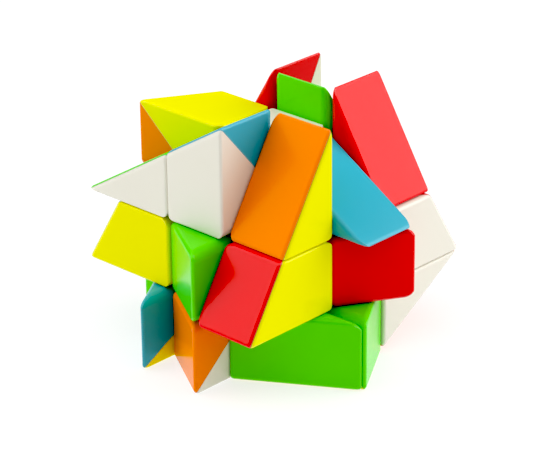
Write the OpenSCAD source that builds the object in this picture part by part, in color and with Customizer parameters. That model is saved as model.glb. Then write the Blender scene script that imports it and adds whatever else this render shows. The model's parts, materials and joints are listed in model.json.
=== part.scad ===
// Scrambled 3 x 3 x 3 windmill cube, built as separate coloured shells on a sprung spider core.
//
// Solved, the puzzle is a plain cube. Its three-by-three-by-three cuts are parallel to the
// mechanism's axes, but the cube's four upright faces are turned about the vertical axis, so the
// cells are squares, trapezoids and right triangles in plan. Every piece is drawn in its solved
// place and then carried to the slot that it has been turned to.
// The puzzle stands on its flat underside: Z = 0 is the table, and the core is half a cube up.

/* [Cube] */
// Edge length of the solved cube
cube_size = 57; // [54:0.5:60]
// Gap between neighbouring pieces
piece_gap = 0.2; // [0.16:0.02:0.3]
// Wall thickness of the coloured shells
wall = 1.8; // [1.4:0.1:2.2]

/* [Feet] */
// Radius that the feet reach, under the coloured shells
foot_outer_r = 19.9; // [19.5:0.1:20.1]
// Radius of the feet's inner side
foot_inner_r = 14.5; // [14:0.1:15]
// Distance from the core's centre to the cuts between the feet
foot_cut = 7; // [6.6:0.1:7.4]
// Radius where the solid root of a piece ends and its hollow shell begins
root_r = 22.5; // [22.2:0.1:23]
// Radius that the spigots inside the shells reach
spigot_r = 24.5; // [24:0.1:25]

/* [Core] */
// Radius of the hub
hub_r = 7; // [6:0.25:7.5]
// Radius of the hub's six arms
arm_r = 3.6; // [3:0.1:4]
// Distance from the core's centre to the end of an arm
arm_end = 11.2; // [10.8:0.1:11.4]
// Outer radius of the tube under each centre piece
tube_r = 4.6; // [4.2:0.1:5]

/* [Screws and springs] */
// Radius of the screw thread
thread_r = 1.25; // [1:0.05:1.3]
// Radius of the plain shank, on which a centre piece turns
shank_r = 1.5; // [1.4:0.02:1.6]
// Radial clearance between the shank and a centre piece
running_clearance = 0.08; // [0.04:0.01:0.1]
// Radius of the screw head
head_r = 2.8; // [2.5:0.1:3]
// Height of the screw head
head_h = 2; // [1.5:0.1:2.2]
// Thickness of the washer
washer_t = 0.5; // [0.3:0.1:0.6]
// Distance from the core's centre to the underside of the screw head
head_seat = 19.5; // [19.2:0.1:19.8]
// Distance from the core's centre to the spring seat
spring_seat = 14; // [13.6:0.1:14.2]
// Diameter of the spring wire
wire_d = 0.55; // [0.4:0.05:0.6]
// Turns in each spring
spring_turns = 4; // [3:1:5]

/* [Hidden] */
half = cube_size / 2;
cut = cube_size / 6;
// The upright faces are turned until the cube's upright edges lie exactly on the cuts
face_turn = acos(cut / (half * sqrt(2))) - 45;
side_gap = piece_gap / 2;
reach = cube_size;
seat_gap = 0.05;
well_r = head_r + 0.5;
spring_r = well_r - wire_d / 2 - 0.15;
thread_end = 4.5;
bore_end = 4.2;
slot_w = 0.7;
slot_depth = 0.9;
spring_steps = 12;
wire_sides = 6;
round_fn = 72;

UP = [0, 0, 1];
DOWN = [0, 0, -1];
FRONT = [0, -1, 0];
BACK = [0, 1, 0];
LEFT = [-1, 0, 0];
RIGHT = [1, 0, 0];
AXES = [UP, DOWN, FRONT, BACK, LEFT, RIGHT];

// Each row is a piece: end colour, side colour, where the end face now points, and where the
// outward direction of the layer's square side now points.
CORNERS = [
    ["white", "red", BACK, LEFT],
    ["white", "blue", DOWN, LEFT],
    ["white", "orange", RIGHT, DOWN],
    ["white", "green", FRONT, UP],
    ["yellow", "red", BACK, RIGHT],
    ["yellow", "blue", DOWN, LEFT],
    ["yellow", "orange", RIGHT, FRONT],
    ["yellow", "green", DOWN, FRONT]
];
EDGES = [
    ["white", "red", RIGHT, BACK],
    ["white", "blue", FRONT, UP],
    ["white", "orange", DOWN, FRONT],
    ["white", "green", DOWN, LEFT],
    ["yellow", "red", RIGHT, FRONT],
    ["yellow", "blue", FRONT, LEFT],
    ["yellow", "orange", UP, LEFT],
    ["yellow", "green", DOWN, RIGHT]
];
// The middle layer's pieces have one colour, and their upper side counts as the end face
MIDDLES = [
    ["", "red", RIGHT, DOWN],
    ["", "blue", BACK, UP],
    ["", "orange", UP, BACK],
    ["", "green", RIGHT, BACK]
];
SIDE_CENTRES = [
    ["", "red", DOWN, RIGHT],
    ["", "blue", UP, BACK],
    ["", "orange", UP, LEFT],
    ["", "green", DOWN, FRONT]
];
END_CENTRES = [["white", "", UP, RIGHT], ["yellow", "", DOWN, RIGHT]];

function title(piece) = piece[0] == "" ? piece[1] : piece[1] == "" ? piece[0] : str(piece[0], "_", piece[1]);
function end_sign(piece) = piece[0] == "yellow" ? -1 : 1;
function corner_name(piece, part) = str(title(piece), "_corner_", part);
function edge_name(piece, part) = str(title(piece), "_edge_", part);
function centre_name(piece, part) = str(title(piece), "_centre_", part);

// Plastic colours, by the name of the face that they make
function shade(name) =
    name == "white" ? [0.93, 0.91, 0.87] :
    name == "yellow" ? [0.98, 0.93, 0.05] :
    name == "orange" ? [1.0, 0.52, 0.0] :
    name == "red" ? [0.85, 0.07, 0.1] :
    name == "green" ? [0.28, 0.75, 0.08] :
    name == "blue" ? [0.13, 0.6, 0.78] : [0.2, 0.2, 0.2];

// ---------- placing ----------

// Carries a piece from its solved place in the first quarter to its present slot
module place(piece) {
    z = end_sign(piece) * piece[2];
    x = piece[3];
    y = cross(z, x);
    translate([0, 0, half])
        multmatrix([[x[0], y[0], z[0], 0], [x[1], y[1], z[1], 0], [x[2], y[2], z[2], 0]])
            children();
}

// Repeats its children on the six arms, with the arm along +Z
module on_each_axis() {
    for (axis = AXES)
        translate([0, 0, half])
            rotate(axis[2] != 0 ? [axis[2] > 0 ? 0 : 180, 0, 0] : [0, 90, atan2(axis[1], axis[0])])
                children();
}

// ---------- cells ----------

// Lowest and highest coordinate of a layer: -1, 0 or 1, cut at +-at and inset on every cut side
function span(layer, at, inset) =
    layer == 0 ? [inset - at, at - inset] :
    layer > 0 ? [at + inset, reach] : [-reach, -at - inset];

module cell_box(cell, at, inset) {
    x = span(cell[0], at, inset);
    y = span(cell[1], at, inset);
    z = span(cell[2], at, inset);
    translate([x[0], y[0], z[0]])
        cube([x[1] - x[0], y[1] - y[0], z[1] - z[0]]);
}

// The part of the solved cube inside one cell; skin is how far it stays below the cube's faces
module block(cell, inset = side_gap, skin = 0) {
    intersection() {
        cell_box(cell, cut, inset);
        rotate([0, 0, face_turn])
            cube(2 * (half - skin), center = true);
    }
}

module ball(r) {
    sphere(r = r, $fn = round_fn);
}

module hollow_ball(inner, outer) {
    difference() {
        ball(outer);
        ball(inner);
    }
}

// Half of space on the side face's side of the plane that halves the angle between the two faces
module side_half(end) {
    rotate([0, 0, face_turn])
        rotate([0, 45 * end, 0])
            translate([0, -reach * 2, -reach * 2])
                cube([reach * 2, reach * 4, reach * 4]);
}

// ---------- the bodies of the pieces ----------

// Hollow coloured skin, outside the root
module skin(cell) {
    difference() {
        block(cell);
        block(cell, side_gap + wall, wall);
        ball(root_r);
    }
}

// Foot that reaches under the neighbours, the neck and the solid root of a piece
module root(cell) {
    intersection() {
        block(cell);
        hollow_ball(foot_outer_r + piece_gap, root_r);
    }
    intersection() {
        cell_box(cell, foot_cut, side_gap);
        hollow_ball(foot_inner_r, foot_outer_r);
    }
    intersection() {
        block(cell);
        cell_box(cell, foot_cut, side_gap);
        hollow_ball(foot_outer_r - 1, foot_outer_r + 1);
    }
}

// Plug that locates the hollow shells on the root
module spigot(cell) {
    intersection() {
        block(cell, side_gap + wall, wall);
        hollow_ball(root_r - 0.5, spigot_r);
    }
}

// ---------- corners ----------

module corner_shell(piece, part) {
    end = end_sign(piece);
    color(shade(part == "side" ? piece[1] : piece[0]))
        place(piece)
            if (part == "side")
                intersection() {
                    skin([1, 1, end]);
                    side_half(end);
                }
            else
                difference() {
                    skin([1, 1, end]);
                    side_half(end);
                }
}

module corner_foot(piece) {
    cell = [1, 1, end_sign(piece)];
    color(shade("dark"))
        place(piece) {
            root(cell);
            spigot(cell);
        }
}

// ---------- edges ----------

module edge_half(piece, part) {
    end = end_sign(piece);
    cell = [1, 0, end];
    color(shade(part == "side" ? piece[1] : piece[0]))
        place(piece)
            if (part == "side")
                intersection() {
                    union() {
                        skin(cell);
                        root(cell);
                    }
                    side_half(end);
                }
            else
                difference() {
                    union() {
                        skin(cell);
                        root(cell);
                    }
                    side_half(end);
                }
}

// One colour, moulded in one piece and cored out from the foot
module middle_edge(piece) {
    cell = [1, 1, 0];
    core_r = 2.5;
    color(shade(piece[1]))
        place(piece)
            difference() {
                union() {
                    skin(cell);
                    root(cell);
                }
                rotate([0, 90, 45])
                    cylinder(r = core_r, h = spigot_r, $fn = round_fn);
            }
}

// ---------- centres ----------

module centre_cap(piece, cell) {
    color(shade(title(piece)))
        place(piece)
            skin(cell);
}

module centre_base(piece, cell) {
    tilt = cell[0] != 0 ? 90 : cell[2] < 0 ? 180 : 0;
    color(shade("dark"))
        place(piece)
            difference() {
                union() {
                    root(cell);
                    spigot(cell);
                    rotate([0, tilt, 0])
                        translate([0, 0, arm_end + piece_gap])
                            cylinder(r = tube_r, h = foot_inner_r + 1 - arm_end, $fn = round_fn);
                }
                rotate([0, tilt, 0])
                    cylinder(r = shank_r + running_clearance, h = reach, $fn = round_fn);
                rotate([0, tilt, 0])
                    translate([0, 0, spring_seat])
                        cylinder(r = well_r, h = reach, $fn = round_fn);
            }
}

// ---------- core, screws, springs and washers ----------

module core() {
    color(shade("dark"))
        difference() {
            union() {
                translate([0, 0, half])
                    ball(hub_r);
                on_each_axis()
                    cylinder(r = arm_r, h = arm_end, $fn = round_fn);
            }
            on_each_axis()
                translate([0, 0, bore_end])
                    cylinder(r = thread_r, h = reach, $fn = round_fn);
        }
}

module screw() {
    difference() {
        union() {
            translate([0, 0, thread_end])
                cylinder(r = thread_r, h = arm_end - thread_end, $fn = round_fn);
            translate([0, 0, arm_end])
                cylinder(r = shank_r, h = head_seat - arm_end, $fn = round_fn);
            translate([0, 0, head_seat])
                cylinder(r = head_r, h = head_h, $fn = round_fn);
        }
        for (turn = [0, 90])
            rotate([0, 0, turn])
                translate([-head_r * 0.65, -slot_w / 2, head_seat + head_h - slot_depth])
                    cube([head_r * 1.3, slot_w, head_h]);
    }
}

module screws() {
    color("silver")
        on_each_axis()
            screw();
}

module washers() {
    color("lightgrey")
        on_each_axis()
            translate([0, 0, head_seat - washer_t])
                difference() {
                    cylinder(r = head_r, h = washer_t, $fn = round_fn);
                    translate([0, 0, -1])
                        cylinder(r = shank_r + running_clearance, h = 3, $fn = round_fn);
                }
}

// Wire swept along a helix, between the spring seat and the washer
module spring() {
    low = spring_seat + seat_gap + wire_d / 2;
    high = head_seat - washer_t - wire_d / 2;
    rings = spring_turns * spring_steps;
    mean_r = spring_r;
    points = [
        for (i = [0 : rings], j = [0 : wire_sides - 1])
            let (a = 360 * i / spring_steps, b = 360 * j / wire_sides)
            let (r = mean_r + wire_d / 2 * cos(b))
            [r * cos(a), r * sin(a), low + (high - low) * i / rings + wire_d / 2 * sin(b)]
    ];
    sides = [
        for (i = [0 : rings - 1], j = [0 : wire_sides - 1])
            let (k = (j + 1) % wire_sides, n = i * wire_sides)
            [n + j, n + k, n + wire_sides + k, n + wire_sides + j]
    ];
    near = [for (j = [0 : wire_sides - 1]) wire_sides - 1 - j];
    far = [for (j = [0 : wire_sides - 1]) rings * wire_sides + j];
    polyhedron(points, concat(sides, [near, far]), convexity = 8);
}

module springs() {
    color("silver")
        on_each_axis()
            spring();
}

// ---------- nodes ----------

for (piece = CORNERS) {
    corner_shell(piece, "end");
    corner_shell(piece, "side");
    corner_foot(piece);
}
for (piece = EDGES) {
    edge_half(piece, "end");
    edge_half(piece, "side");
}
for (piece = MIDDLES)
    middle_edge(piece);
for (piece = SIDE_CENTRES) {
    centre_cap(piece, [1, 0, 0]);
    centre_base(piece, [1, 0, 0]);
}
for (piece = END_CENTRES) {
    centre_cap(piece, [0, 0, end_sign(piece)]);
    centre_base(piece, [0, 0, end_sign(piece)]);
}
core();
screws();
springs();
washers();
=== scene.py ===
"""Looks of the scrambled windmill puzzle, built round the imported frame.

Every coloured shell is rebuilt with moulded, rounded edges and a fine seam against its partner.
Each kind of shell is made once, in its solved place in the puzzle's first quarter with the core
at the origin, and is then carried to its present slot. The black inner parts and the metal parts
are the frame's own, with their materials set here.
"""
import json
import math

import bmesh
import bpy
from mathutils import Matrix, Vector


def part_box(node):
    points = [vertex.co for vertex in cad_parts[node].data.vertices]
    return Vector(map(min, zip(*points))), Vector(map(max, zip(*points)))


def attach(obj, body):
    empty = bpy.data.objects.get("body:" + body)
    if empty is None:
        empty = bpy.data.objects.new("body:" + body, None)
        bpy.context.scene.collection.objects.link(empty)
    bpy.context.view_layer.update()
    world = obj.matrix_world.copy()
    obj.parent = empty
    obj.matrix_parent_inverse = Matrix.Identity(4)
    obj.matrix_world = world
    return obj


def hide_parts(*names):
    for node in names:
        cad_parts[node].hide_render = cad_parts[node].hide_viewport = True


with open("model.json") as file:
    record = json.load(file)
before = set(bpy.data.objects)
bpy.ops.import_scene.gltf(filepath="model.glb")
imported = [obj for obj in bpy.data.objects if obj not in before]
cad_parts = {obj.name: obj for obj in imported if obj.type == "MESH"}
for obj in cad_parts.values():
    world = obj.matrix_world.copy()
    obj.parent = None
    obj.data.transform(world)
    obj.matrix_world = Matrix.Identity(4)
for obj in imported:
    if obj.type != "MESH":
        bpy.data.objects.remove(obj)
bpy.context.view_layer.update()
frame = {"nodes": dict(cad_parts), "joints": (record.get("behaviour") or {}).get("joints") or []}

MM = 0.001

# ---------- sizes ----------

# From the core to the solved cube's faces, and to the cuts between its layers
HALF = frame["joints"][0]["pos_m"][2]
CUT = HALF / 3
# The finished shells keep half of the clearance that the frame leaves beside a cut
SIDE_GAP = (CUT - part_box("white_centre_cap")[1].x) / 2
# Turn of the side faces that puts the solved cube's upright edges on the cuts
FACE_TURN = math.acos(CUT / (HALF * math.sqrt(2))) - math.radians(45)
# Further out than any face
REACH = 2 * HALF

# An edge piece's foot lies between two spheres about the core, inside a narrower cell
FOOT_INNER = 14.5 * MM
FOOT_OUTER = 19.9 * MM
FOOT_CUT = 7.0 * MM
# Room that an edge piece leaves above its neighbours' feet
FOOT_ROOM = 4 * SIDE_GAP
# Corner and centre shells stop at this sphere, where the black inner parts begin
ROOT = 22.5 * MM
# Radius of the hole up the middle of a one-colour edge piece
CORE_HOLE = 2.5 * MM

# Rounding of the moulded edges: where two cut walls meet, round an end face, and round a side
# face, where the radius goes by the angle inside the plastic, from the given one upwards
WALL_ROUND = 2.7 * MM
END_ROUND = 0.8 * MM
FACE_ROUNDS = ((100, 1.9 * MM), (80, 1.4 * MM), (45, 0.75 * MM), (0, 0.55 * MM))
ROUND_STEPS = 8
# Seam between a piece's two colours: each shell's distance from its plane, and its rounding
SEAM_GAP = 0.04 * MM
SEAM_ROUND = 0.1 * MM
SEAM_STEPS = 2

# Points closer together than this are one, and faces smaller than this become triangles
SLIVER = 0.003 * MM
TINY_AREA = 0.1 * MM**2
# Facets that meet at more than this stay crisp
CRISP_ANGLE = math.radians(38)
BALL_SEGMENTS = 64
ROD_SEGMENTS = 32
# A face this near to the solved cube's outside is on it, and one whose normal's height is over
# this is an end face
ON_OUTSIDE = 0.999
END_NORMAL = 0.9

UP = Vector((0, 0, 1))
DOWN = -UP
FRONT = Vector((0, -1, 0))
BACK = -FRONT
LEFT = Vector((-1, 0, 0))
RIGHT = -LEFT

# Kind of piece, end colour, side colour, where its end face now points (its top, if it has none),
# and where its side that faces right when solved now points
PIECES = [
    ("corner", "white", "red", BACK, LEFT),
    ("corner", "white", "blue", DOWN, LEFT),
    ("corner", "white", "orange", RIGHT, DOWN),
    ("corner", "white", "green", FRONT, UP),
    ("corner", "yellow", "red", BACK, RIGHT),
    ("corner", "yellow", "blue", DOWN, LEFT),
    ("corner", "yellow", "orange", RIGHT, FRONT),
    ("corner", "yellow", "green", DOWN, FRONT),
    ("edge", "white", "red", RIGHT, BACK),
    ("edge", "white", "blue", FRONT, UP),
    ("edge", "white", "orange", DOWN, FRONT),
    ("edge", "white", "green", DOWN, LEFT),
    ("edge", "yellow", "red", RIGHT, FRONT),
    ("edge", "yellow", "blue", FRONT, LEFT),
    ("edge", "yellow", "orange", UP, LEFT),
    ("edge", "yellow", "green", DOWN, RIGHT),
    ("middle", "", "red", RIGHT, DOWN),
    ("middle", "", "blue", BACK, UP),
    ("middle", "", "orange", UP, BACK),
    ("middle", "", "green", RIGHT, BACK),
    ("centre", "", "red", DOWN, RIGHT),
    ("centre", "", "blue", UP, BACK),
    ("centre", "", "orange", UP, LEFT),
    ("centre", "", "green", DOWN, FRONT),
    ("centre", "white", "", UP, RIGHT),
    ("centre", "yellow", "", DOWN, RIGHT),
]


# ---------- mesh helpers ----------

def add_object(name, mesh):
    """The mesh as an object in the scene."""
    obj = bpy.data.objects.new(name, mesh)
    bpy.context.scene.collection.objects.link(obj)
    return obj


def applied(obj):
    """The object's mesh with its modifiers applied; the object itself goes."""
    bpy.context.view_layer.update()
    evaluated = obj.evaluated_get(bpy.context.evaluated_depsgraph_get())
    mesh = bpy.data.meshes.new_from_object(evaluated)
    bpy.data.objects.remove(obj)
    return mesh


def as_mesh(bm, name):
    """The bmesh's contents as a new mesh; the bmesh itself goes."""
    mesh = bpy.data.meshes.new(name)
    bm.to_mesh(mesh)
    bm.free()
    return mesh


def combined(mesh, other, operation):
    """Boolean of two meshes, as a new mesh."""
    tool = add_object("tool", other)
    obj = add_object("work", mesh)
    change = obj.modifiers.new("boolean", "BOOLEAN")
    change.object = tool
    change.operation = operation
    change.solver = "EXACT"
    result = applied(obj)
    bpy.data.objects.remove(tool)
    return result


def ball(radius):
    """Sphere about the core."""
    bm = bmesh.new()
    bmesh.ops.create_uvsphere(
        bm, u_segments=BALL_SEGMENTS, v_segments=BALL_SEGMENTS // 2, radius=radius
    )
    return as_mesh(bm, "ball")


def rod(radius, length, direction):
    """Cylinder from the origin along a direction."""
    bm = bmesh.new()
    turn = direction.to_track_quat("Z", "Y").to_matrix().to_4x4()
    bmesh.ops.create_cone(
        bm,
        cap_ends=True,
        segments=ROD_SEGMENTS,
        radius1=radius,
        radius2=radius,
        depth=length,
        matrix=turn @ Matrix.Translation((0, 0, length / 2)),
    )
    return as_mesh(bm, "rod")


# ---------- cells: where a piece sits, as -1, 0 or 1 along each axis ----------

def span(layer, at):
    """Lowest and highest coordinate of a layer, with the cuts at +-at."""
    if layer == 0:
        return SIDE_GAP - at, at - SIDE_GAP
    if layer > 0:
        return at + SIDE_GAP, REACH
    return -REACH, -at - SIDE_GAP


def clipped(outline, normal, distance):
    """The part of a convex outline on the near side of a line."""
    result = []
    for a, b in zip(outline, outline[1:] + outline[:1]):
        da = a.dot(normal) - distance
        db = b.dot(normal) - distance
        if da <= 0:
            result.append(a)
        if da * db < 0:
            result.append(a.lerp(b, da / (da - db)))
    return result


def prism(outline, low, high):
    """Upright prism, as a bmesh."""
    bm = bmesh.new()
    bottom = [bm.verts.new((p.x, p.y, low)) for p in outline]
    top = [bm.verts.new((p.x, p.y, high)) for p in outline]
    bm.faces.new(bottom[::-1])
    bm.faces.new(top)
    for i in range(len(outline)):
        j = (i + 1) % len(outline)
        bm.faces.new((bottom[i], bottom[j], top[j], top[i]))
    bm.normal_update()
    return bm


def cell_outline(cell, at):
    """A cell seen from above, with the cuts at +-at."""
    x0, x1 = span(cell[0], at)
    y0, y1 = span(cell[1], at)
    return [Vector((x0, y0)), Vector((x1, y0)), Vector((x1, y1)), Vector((x0, y1))]


def foot_box(cell):
    """The narrower cell that holds a foot."""
    return as_mesh(prism(cell_outline(cell, FOOT_CUT), *span(cell[2], FOOT_CUT)), "foot_box")


def is_outer(face):
    """Whether a face lies on the outside of the solved cube."""
    across = Matrix.Rotation(-FACE_TURN, 3, "Z")
    centre = across @ face.calc_center_median()
    return max(abs(c) for c in centre) > HALF * ON_OUTSIDE


def rounding(edge):
    """How far from the edge its rounding starts."""
    opening = math.pi - edge.calc_face_angle()
    outer = [face for face in edge.link_faces if is_outer(face)]
    if not outer:
        radius = WALL_ROUND
    elif len(outer) == 1 and abs(outer[0].normal.z) > END_NORMAL:
        radius = END_ROUND
    else:
        radius = next(r for angle, r in FACE_ROUNDS if math.degrees(opening) > angle)
    return radius / math.tan(opening / 2)


def rounded_block(cell):
    """One cell of the solved cube, with every edge rounded as it is moulded."""
    outline = cell_outline(cell, CUT)
    for quarter in range(4):
        angle = FACE_TURN + quarter * math.pi / 2
        outline = clipped(outline, Vector((math.cos(angle), math.sin(angle))), HALF)
    low, high = span(cell[2], CUT)
    bm = prism(outline, max(low, -HALF), min(high, HALF))
    sizes = [rounding(edge) for edge in bm.edges]
    mesh = as_mesh(bm, "block")
    weights = mesh.attributes.new("bevel_weight_edge", "FLOAT", "EDGE")
    for item, size in zip(weights.data, sizes):
        item.value = size / max(sizes)
    obj = add_object("block", mesh)
    bevel = obj.modifiers.new("rounding", "BEVEL")
    bevel.limit_method = "WEIGHT"
    bevel.width = max(sizes)
    bevel.segments = ROUND_STEPS
    bevel.use_clamp_overlap = False
    return applied(obj)


def with_foot(block, cell):
    """A block hollowed for its neighbours' feet, with its own foot joined on."""
    column = foot_box(cell)
    clearance = combined(ball(FOOT_OUTER + FOOT_ROOM), column, "DIFFERENCE")
    outer = combined(block, clearance, "DIFFERENCE")
    foot = combined(column, ball(FOOT_OUTER), "INTERSECT")
    whole = combined(outer, foot, "UNION")
    return combined(whole, ball(FOOT_INNER), "DIFFERENCE")


def half_of(mesh, end, side):
    """The side shell or the end shell of a two-colour piece, closed along the seam."""
    across = Vector((math.cos(FACE_TURN), math.sin(FACE_TURN), -end)).normalized()
    shift = SEAM_GAP if side else -SEAM_GAP
    bm = bmesh.new()
    bm.from_mesh(mesh)
    cut = bmesh.ops.bisect_plane(
        bm,
        geom=bm.verts[:] + bm.edges[:] + bm.faces[:],
        plane_co=across * shift,
        plane_no=across,
        clear_inner=side,
        clear_outer=not side,
    )
    rim = [e for e in cut["geom_cut"] if isinstance(e, bmesh.types.BMEdge)]
    bmesh.ops.holes_fill(bm, edges=rim, sides=0)
    bmesh.ops.bevel(
        bm,
        geom=[e for e in rim if e.is_valid],
        offset=SEAM_ROUND,
        segments=SEAM_STEPS,
        profile=0.5,
        affect="EDGES",
        clamp_overlap=True,
    )
    return as_mesh(bm, "half")


def finished(mesh):
    """Cleared of slivers and folds, smooth on the rounding, crisp where moulded walls meet."""
    bm = bmesh.new()
    bm.from_mesh(mesh)
    bmesh.ops.remove_doubles(bm, verts=bm.verts[:], dist=SLIVER)
    bmesh.ops.dissolve_degenerate(bm, edges=bm.edges[:], dist=SLIVER)
    bmesh.ops.triangulate(bm, faces=[f for f in bm.faces if f.calc_area() < TINY_AREA])
    bm.verts.index_update()
    twins = {}
    for face in bm.faces:
        twins.setdefault(frozenset(v.index for v in face.verts), []).append(face)
    folded = [face for same in twins.values() if len(same) > 1 for face in same]
    bmesh.ops.delete(bm, geom=folded, context="FACES")
    bm.to_mesh(mesh)
    bm.free()
    mesh.shade_smooth()
    mesh.set_sharp_from_angle(angle=CRISP_ANGLE)
    return mesh


# ---------- materials ----------

# The plastic's roughness
GLOSS = 0.18
# How far the scratches show beside the orange peel
SCRATCH_SHARE = 0.25
# Painted edge highlight, pale rims that stand in for light caught by the rounded edges: the
# band's width, the cosine of the turn at which the highlight is strongest, how much of the paler
# colour shows there, and how much white is in it
EDGE_HIGHLIGHT_WIDTH = 0.6 * MM
EDGE_HIGHLIGHT_PEAK_COSINE = 0.88
EDGE_HIGHLIGHT_DEPTH = 0.5
EDGE_HIGHLIGHT_WHITENESS = 0.3


def node_maker(owner):
    """A function that adds a node and fills its inputs with numbers or other nodes' outputs."""
    nodes = owner.node_tree.nodes
    links = owner.node_tree.links

    def make(kind, inputs=None, **settings):
        node = nodes.new(kind)
        for key, value in settings.items():
            setattr(node, key, value)
        for key, value in (inputs or {}).items():
            if isinstance(value, bpy.types.NodeSocket):
                links.new(value, node.inputs[key])
            else:
                node.inputs[key].default_value = value
        return node

    return make


def start_material(name):
    """A new material, its shader's sockets, its node maker, and what links an output to one of
    those sockets."""
    material = bpy.data.materials.new(name)
    material.use_nodes = True
    shader = material.node_tree.nodes["Principled BSDF"].inputs

    def feed(output, socket):
        material.node_tree.links.new(output, shader[socket])

    return material, shader, node_maker(material), feed


def mixed(make, factor, first, second):
    """Colour between two others; each is a colour or a node's output."""
    mix = make("ShaderNodeMix", {"Factor": factor}, data_type="RGBA")
    for key, colour in (("A", first), ("B", second)):
        if isinstance(colour, bpy.types.NodeSocket):
            mix.id_data.links.new(colour, mix.inputs[key])
        else:
            mix.inputs[key].default_value = (*colour, 1)
    return mix.outputs["Result"]


def spread(make, factor, middle, share):
    """A number that strays from the middle by up to a share of it."""
    limits = {"To Min": middle * (1 - share), "To Max": middle * (1 + share)}
    return make("ShaderNodeMapRange", {"Value": factor, **limits}).outputs["Result"]


def bumped(make, height, distance, strength):
    """Surface normal of a fine relief."""
    inputs = {"Height": height, "Distance": distance, "Strength": strength}
    return make("ShaderNodeBump", inputs).outputs["Normal"]


def plastic(name, lit, deep, shine):
    """Glossy moulded ABS: slight colour drift, flow marks, fine scratches, and pale rims painted
    along the edges as a highlight.
    """
    material, shader, make, feed = start_material(name)
    where = make("ShaderNodeTexCoord").outputs["Object"]

    drift = make("ShaderNodeTexNoise", {"Vector": where, "Scale": 45.0, "Detail": 2.0})
    tone = mixed(make, drift.outputs["Fac"], deep, lit)

    # Painted highlight on the rims: near an edge, a normal averaged over the surface turns away
    # from the face's own
    rounded = make("ShaderNodeBevel", {"Radius": EDGE_HIGHLIGHT_WIDTH}, samples=4)
    flat = make("ShaderNodeNewGeometry").outputs["Normal"]
    along = make(
        "ShaderNodeVectorMath", {0: rounded.outputs["Normal"], 1: flat}, operation="DOT_PRODUCT"
    )
    edge_highlight_mask = make(
        "ShaderNodeMapRange",
        {
            "Value": along.outputs["Value"],
            "From Min": 1.0,
            "From Max": EDGE_HIGHLIGHT_PEAK_COSINE,
            "To Max": EDGE_HIGHLIGHT_DEPTH,
        },
    )
    # The painted highlight's colour, a paler and whiter copy of the lit tone, laid on the rims
    highlight_colour = [EDGE_HIGHLIGHT_WHITENESS + (1 - EDGE_HIGHLIGHT_WHITENESS) * c for c in lit]
    feed(mixed(make, edge_highlight_mask.outputs["Result"], tone, highlight_colour), "Base Color")

    # Flow marks and finger film vary the gloss
    film = make("ShaderNodeTexNoise", {"Vector": where, "Scale": 160.0, "Detail": 5.0})
    feed(spread(make, film.outputs["Fac"], GLOSS, 0.15), "Roughness")

    # Scratches run one way, over a fine orange peel
    stretch = make("ShaderNodeMapping", {"Vector": where, "Scale": (1.0, 0.06, 0.4)})
    scratches = make(
        "ShaderNodeTexNoise",
        {"Vector": stretch.outputs["Vector"], "Scale": 5200.0, "Detail": 3.0},
    )
    peel = make("ShaderNodeTexNoise", {"Vector": where, "Scale": 700.0, "Detail": 1.0})
    relief = make(
        "ShaderNodeMath",
        {0: scratches.outputs["Fac"], 1: SCRATCH_SHARE, 2: peel.outputs["Fac"]},
        operation="MULTIPLY_ADD",
    )
    feed(bumped(make, relief.outputs["Value"], 0.01 * MM, 0.25), "Normal")

    shader["IOR"].default_value = 1.53
    shader["Subsurface Weight"].default_value = 0.12
    shader["Subsurface Radius"].default_value = (1.0, 1.0, 1.0)
    shader["Subsurface Scale"].default_value = 1.2 * MM
    shader["Specular IOR Level"].default_value = shine
    return material


def dark_plastic():
    """Greased black ABS of the inner parts."""
    material, shader, make, feed = start_material("inner_plastic")
    where = make("ShaderNodeTexCoord").outputs["Object"]
    grease = make("ShaderNodeTexNoise", {"Vector": where, "Scale": 240.0, "Detail": 4.0})
    amount = grease.outputs["Fac"]
    feed(mixed(make, amount, (0.012, 0.012, 0.013), (0.03, 0.03, 0.032)), "Base Color")
    feed(spread(make, amount, 0.45, 1 / 3), "Roughness")
    feed(bumped(make, amount, 0.03 * MM, 0.3), "Normal")
    return material


def steel(name, tint, roughness):
    """Plated steel with fine turning marks."""
    material, shader, make, feed = start_material(name)
    where = make("ShaderNodeTexCoord").outputs["Object"]
    grain = make("ShaderNodeTexNoise", {"Vector": where, "Scale": 1800.0, "Detail": 3.0})
    amount = grain.outputs["Fac"]
    feed(mixed(make, amount, [0.85 * c for c in tint], tint), "Base Color")
    feed(spread(make, amount, roughness, 0.3), "Roughness")
    feed(bumped(make, amount, 0.01 * MM, 0.4), "Normal")
    shader["Metallic"].default_value = 1.0
    return material


# Lit tone, deep tone and strength of reflections of each plastic
COLOURS = {
    "white": ((0.855, 0.835, 0.74), (0.835, 0.81, 0.71), 0.35),
    "yellow": ((0.89, 0.86, 0.0), (0.86, 0.83, 0.0), 0.2),
    "orange": ((1.0, 0.26, 0.0), (0.98, 0.235, 0.0), 0.2),
    "red": ((0.88, 0.004, 0.005), (0.83, 0.003, 0.004), 0.35),
    "green": ((0.13, 0.78, 0.003), (0.1, 0.72, 0.002), 0.35),
    "blue": ((0.07, 0.46, 0.6), (0.055, 0.42, 0.55), 0.35),
}
plastics = {name: plastic(name + "_plastic", *tones) for name, tones in COLOURS.items()}


# ---------- the base shapes, each made once ----------

shape_store = {}


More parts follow.
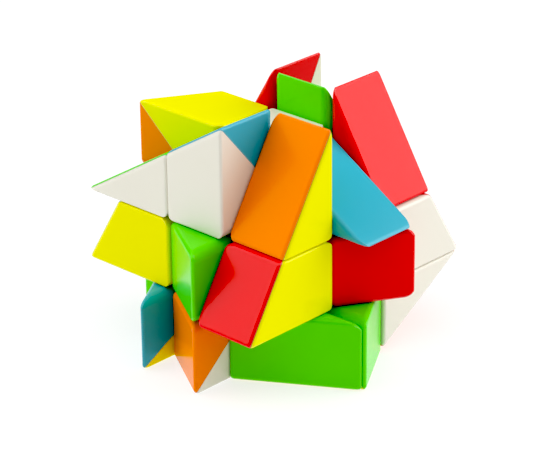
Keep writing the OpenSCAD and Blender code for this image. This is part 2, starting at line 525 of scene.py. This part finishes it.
def shape(kind, end, part):
    """Mesh of one kind of shell in its solved place; end is 1 at the top and -1 at the bottom."""
    key = (kind, end, part)
    if key in shape_store:
        return shape_store[key]
    if kind == "corner":
        whole = combined(rounded_block((1, 1, end)), ball(ROOT), "DIFFERENCE")
    elif kind == "edge":
        whole = with_foot(rounded_block((1, 0, end)), (1, 0, end))
    elif kind == "middle":
        hole = rod(CORE_HOLE, ROOT, Vector((1, 1, 0)))
        whole = combined(with_foot(rounded_block((1, 1, 0)), (1, 1, 0)), hole, "DIFFERENCE")
    else:
        cell = (0, 0, end) if part == "end_cap" else (1, 0, 0)
        whole = combined(rounded_block(cell), ball(ROOT), "DIFFERENCE")
    if kind in ("corner", "edge"):
        shape_store[kind, end, "side"] = finished(half_of(whole, end, True))
        shape_store[kind, end, "end"] = finished(half_of(whole, end, False))
    else:
        shape_store[key] = finished(whole)
    return shape_store[key]


def placement(end, end_to, side_to):
    """Carries a piece from its solved place in the first quarter to its present slot."""
    z = end_to * end
    y = z.cross(side_to)
    turn = Matrix((side_to, y, z)).transposed().to_4x4()
    return Matrix.Translation((0, 0, HALF)) @ turn


def shell(kind, end, part, node, body, colour, place):
    """One visible shell, standing for the CAD node of the same make."""
    mesh = shape(kind, end, part).copy()
    mesh.transform(place)
    obj = add_object(node + "_shell", mesh)
    mesh.materials.clear()
    mesh.materials.append(plastics[colour])
    smooth = obj.modifiers.new("even_shading", "WEIGHTED_NORMAL")
    smooth.keep_sharp = True
    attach(obj, body)
    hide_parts(node)


for kind, end_colour, side_colour, end_to, side_to in PIECES:
    end = -1 if end_colour == "yellow" else 1
    place = placement(end, end_to, side_to)
    title = "_".join(c for c in (end_colour, side_colour) if c)
    if kind in ("corner", "edge"):
        body = f"{title}_{kind}"
        shell(kind, end, "end", body + "_end", body, end_colour, place)
        shell(kind, end, "side", body + "_side", body, side_colour, place)
    elif kind == "middle":
        body = title + "_edge"
        shell(kind, 1, "body", body + "_body", body, side_colour, place)
    else:
        body = title + "_centre"
        part = "end_cap" if end_colour else "side_cap"
        shell(kind, end, part, body + "_cap", body, title, place)


# ---------- carried-over CAD nodes ----------

def dress(node, material):
    """Gives a CAD node one material."""
    mesh = frame["nodes"][node].data
    mesh.materials.clear()
    mesh.materials.append(material)


inner = dark_plastic()
for node in frame["nodes"]:
    if node.endswith(("_foot", "_base")) or node == "core":
        dress(node, inner)
plated = steel("plated_steel", (0.72, 0.72, 0.74), 0.2)
dress("screws", plated)
dress("washers", plated)
dress("springs", steel("spring_steel", (0.5, 0.5, 0.53), 0.4))


# ---------- floor, light and camera ----------

# Half the floor's width, and how far the lights stand from the core, in metres
FLOOR_REACH = 4.0
LIGHT_DISTANCE = 1.0
# Strength of the white surroundings as a light, and as the camera sees them
SKY_LIGHT = 0.2
SKY_SEEN = 1.1
BLACK_LEVEL = 0.053


def bearing(azimuth, elevation):
    """Direction from the core; azimuth 0 is the front and 90 the right."""
    across = math.cos(elevation)
    return Vector(
        (math.sin(azimuth) * across, -math.cos(azimuth) * across, math.sin(elevation))
    )


def backlit_sheet():
    """Matt white sheet with light behind it, so that shadows and coloured bounce stay faint."""
    material, shader = start_material("pale_floor")[:2]
    shader["Base Color"].default_value = (0.3, 0.3, 0.3, 1)
    shader["Roughness"].default_value = 0.7
    shader["Emission Color"].default_value = (1, 1, 1, 1)
    shader["Emission Strength"].default_value = 0.73
    return material


def floor():
    """Plain sheet that the puzzle stands on."""
    bm = bmesh.new()
    bmesh.ops.create_grid(bm, x_segments=1, y_segments=1, size=FLOOR_REACH)
    obj = add_object("floor", as_mesh(bm, "floor"))
    obj.data.materials.append(backlit_sheet())


def softbox(name, azimuth, elevation, size, brightness):
    """Square area light aimed at the core; angles in degrees, size in metres."""
    data = bpy.data.lights.new(name, "AREA")
    data.shape = "SQUARE"
    data.size = size
    data.energy = brightness * math.pi * size**2
    obj = bpy.data.objects.new(name, data)
    bpy.context.scene.collection.objects.link(obj)
    back = bearing(math.radians(azimuth), math.radians(elevation))
    obj.location = Vector((0, 0, HALF)) + back * LIGHT_DISTANCE
    obj.rotation_mode = "QUATERNION"
    obj.rotation_quaternion = back.to_track_quat("Z", "Y")


def surroundings():
    """White studio, dimmer as a light than the camera sees it, with three big softboxes."""
    world = bpy.data.worlds.new("studio")
    bpy.context.scene.world = world
    world.use_nodes = True
    make = node_maker(world)
    seen = make("ShaderNodeLightPath").outputs["Is Camera Ray"]
    level = make("ShaderNodeMapRange", {"Value": seen, "To Min": SKY_LIGHT, "To Max": SKY_SEEN})
    sky = world.node_tree.nodes["Background"]
    world.node_tree.links.new(level.outputs["Result"], sky.inputs["Strength"])
    sky.inputs["Color"].default_value = (1, 1, 1, 1)
    softbox("left_softbox", -49, 34, 0.8, 2.2)
    softbox("right_softbox", 140, 28, 0.8, 3.2)
    softbox("top_softbox", 20, 85, 1.5, 1.35)


def camera():
    """The photograph's view: long lens, a little to the right of the front edge and above it."""
    azimuth = math.radians(43.5)
    elevation = math.radians(24.2)
    roll = math.radians(-0.6)
    distance = 22.1 * HALF
    aim_above = 1.5 * MM
    back = bearing(azimuth, elevation)
    level = Vector((math.cos(azimuth), math.sin(azimuth), 0))
    upright = back.cross(level)
    right = level * math.cos(roll) + upright * math.sin(roll)
    up = upright * math.cos(roll) - level * math.sin(roll)
    data = bpy.data.cameras.new("camera")
    data.lens = 163.0
    data.sensor_width = 36.0
    data.clip_start = 0.01
    obj = bpy.data.objects.new("camera", data)
    bpy.context.scene.collection.objects.link(obj)
    turn = Matrix((right, up, back)).transposed().to_4x4()
    centre = Vector((0, 0, HALF)) + up * aim_above
    obj.matrix_world = Matrix.Translation(centre + back * distance) @ turn
    bpy.context.scene.camera = obj


floor()
surroundings()
camera()
# A slightly raised black level gives the photograph's contrast
colours = bpy.context.scene.view_settings
colours.view_transform = "Standard"
colours.use_curve_mapping = True
colours.curve_mapping.black_level = (BLACK_LEVEL, BLACK_LEVEL, BLACK_LEVEL)
colours.curve_mapping.update()
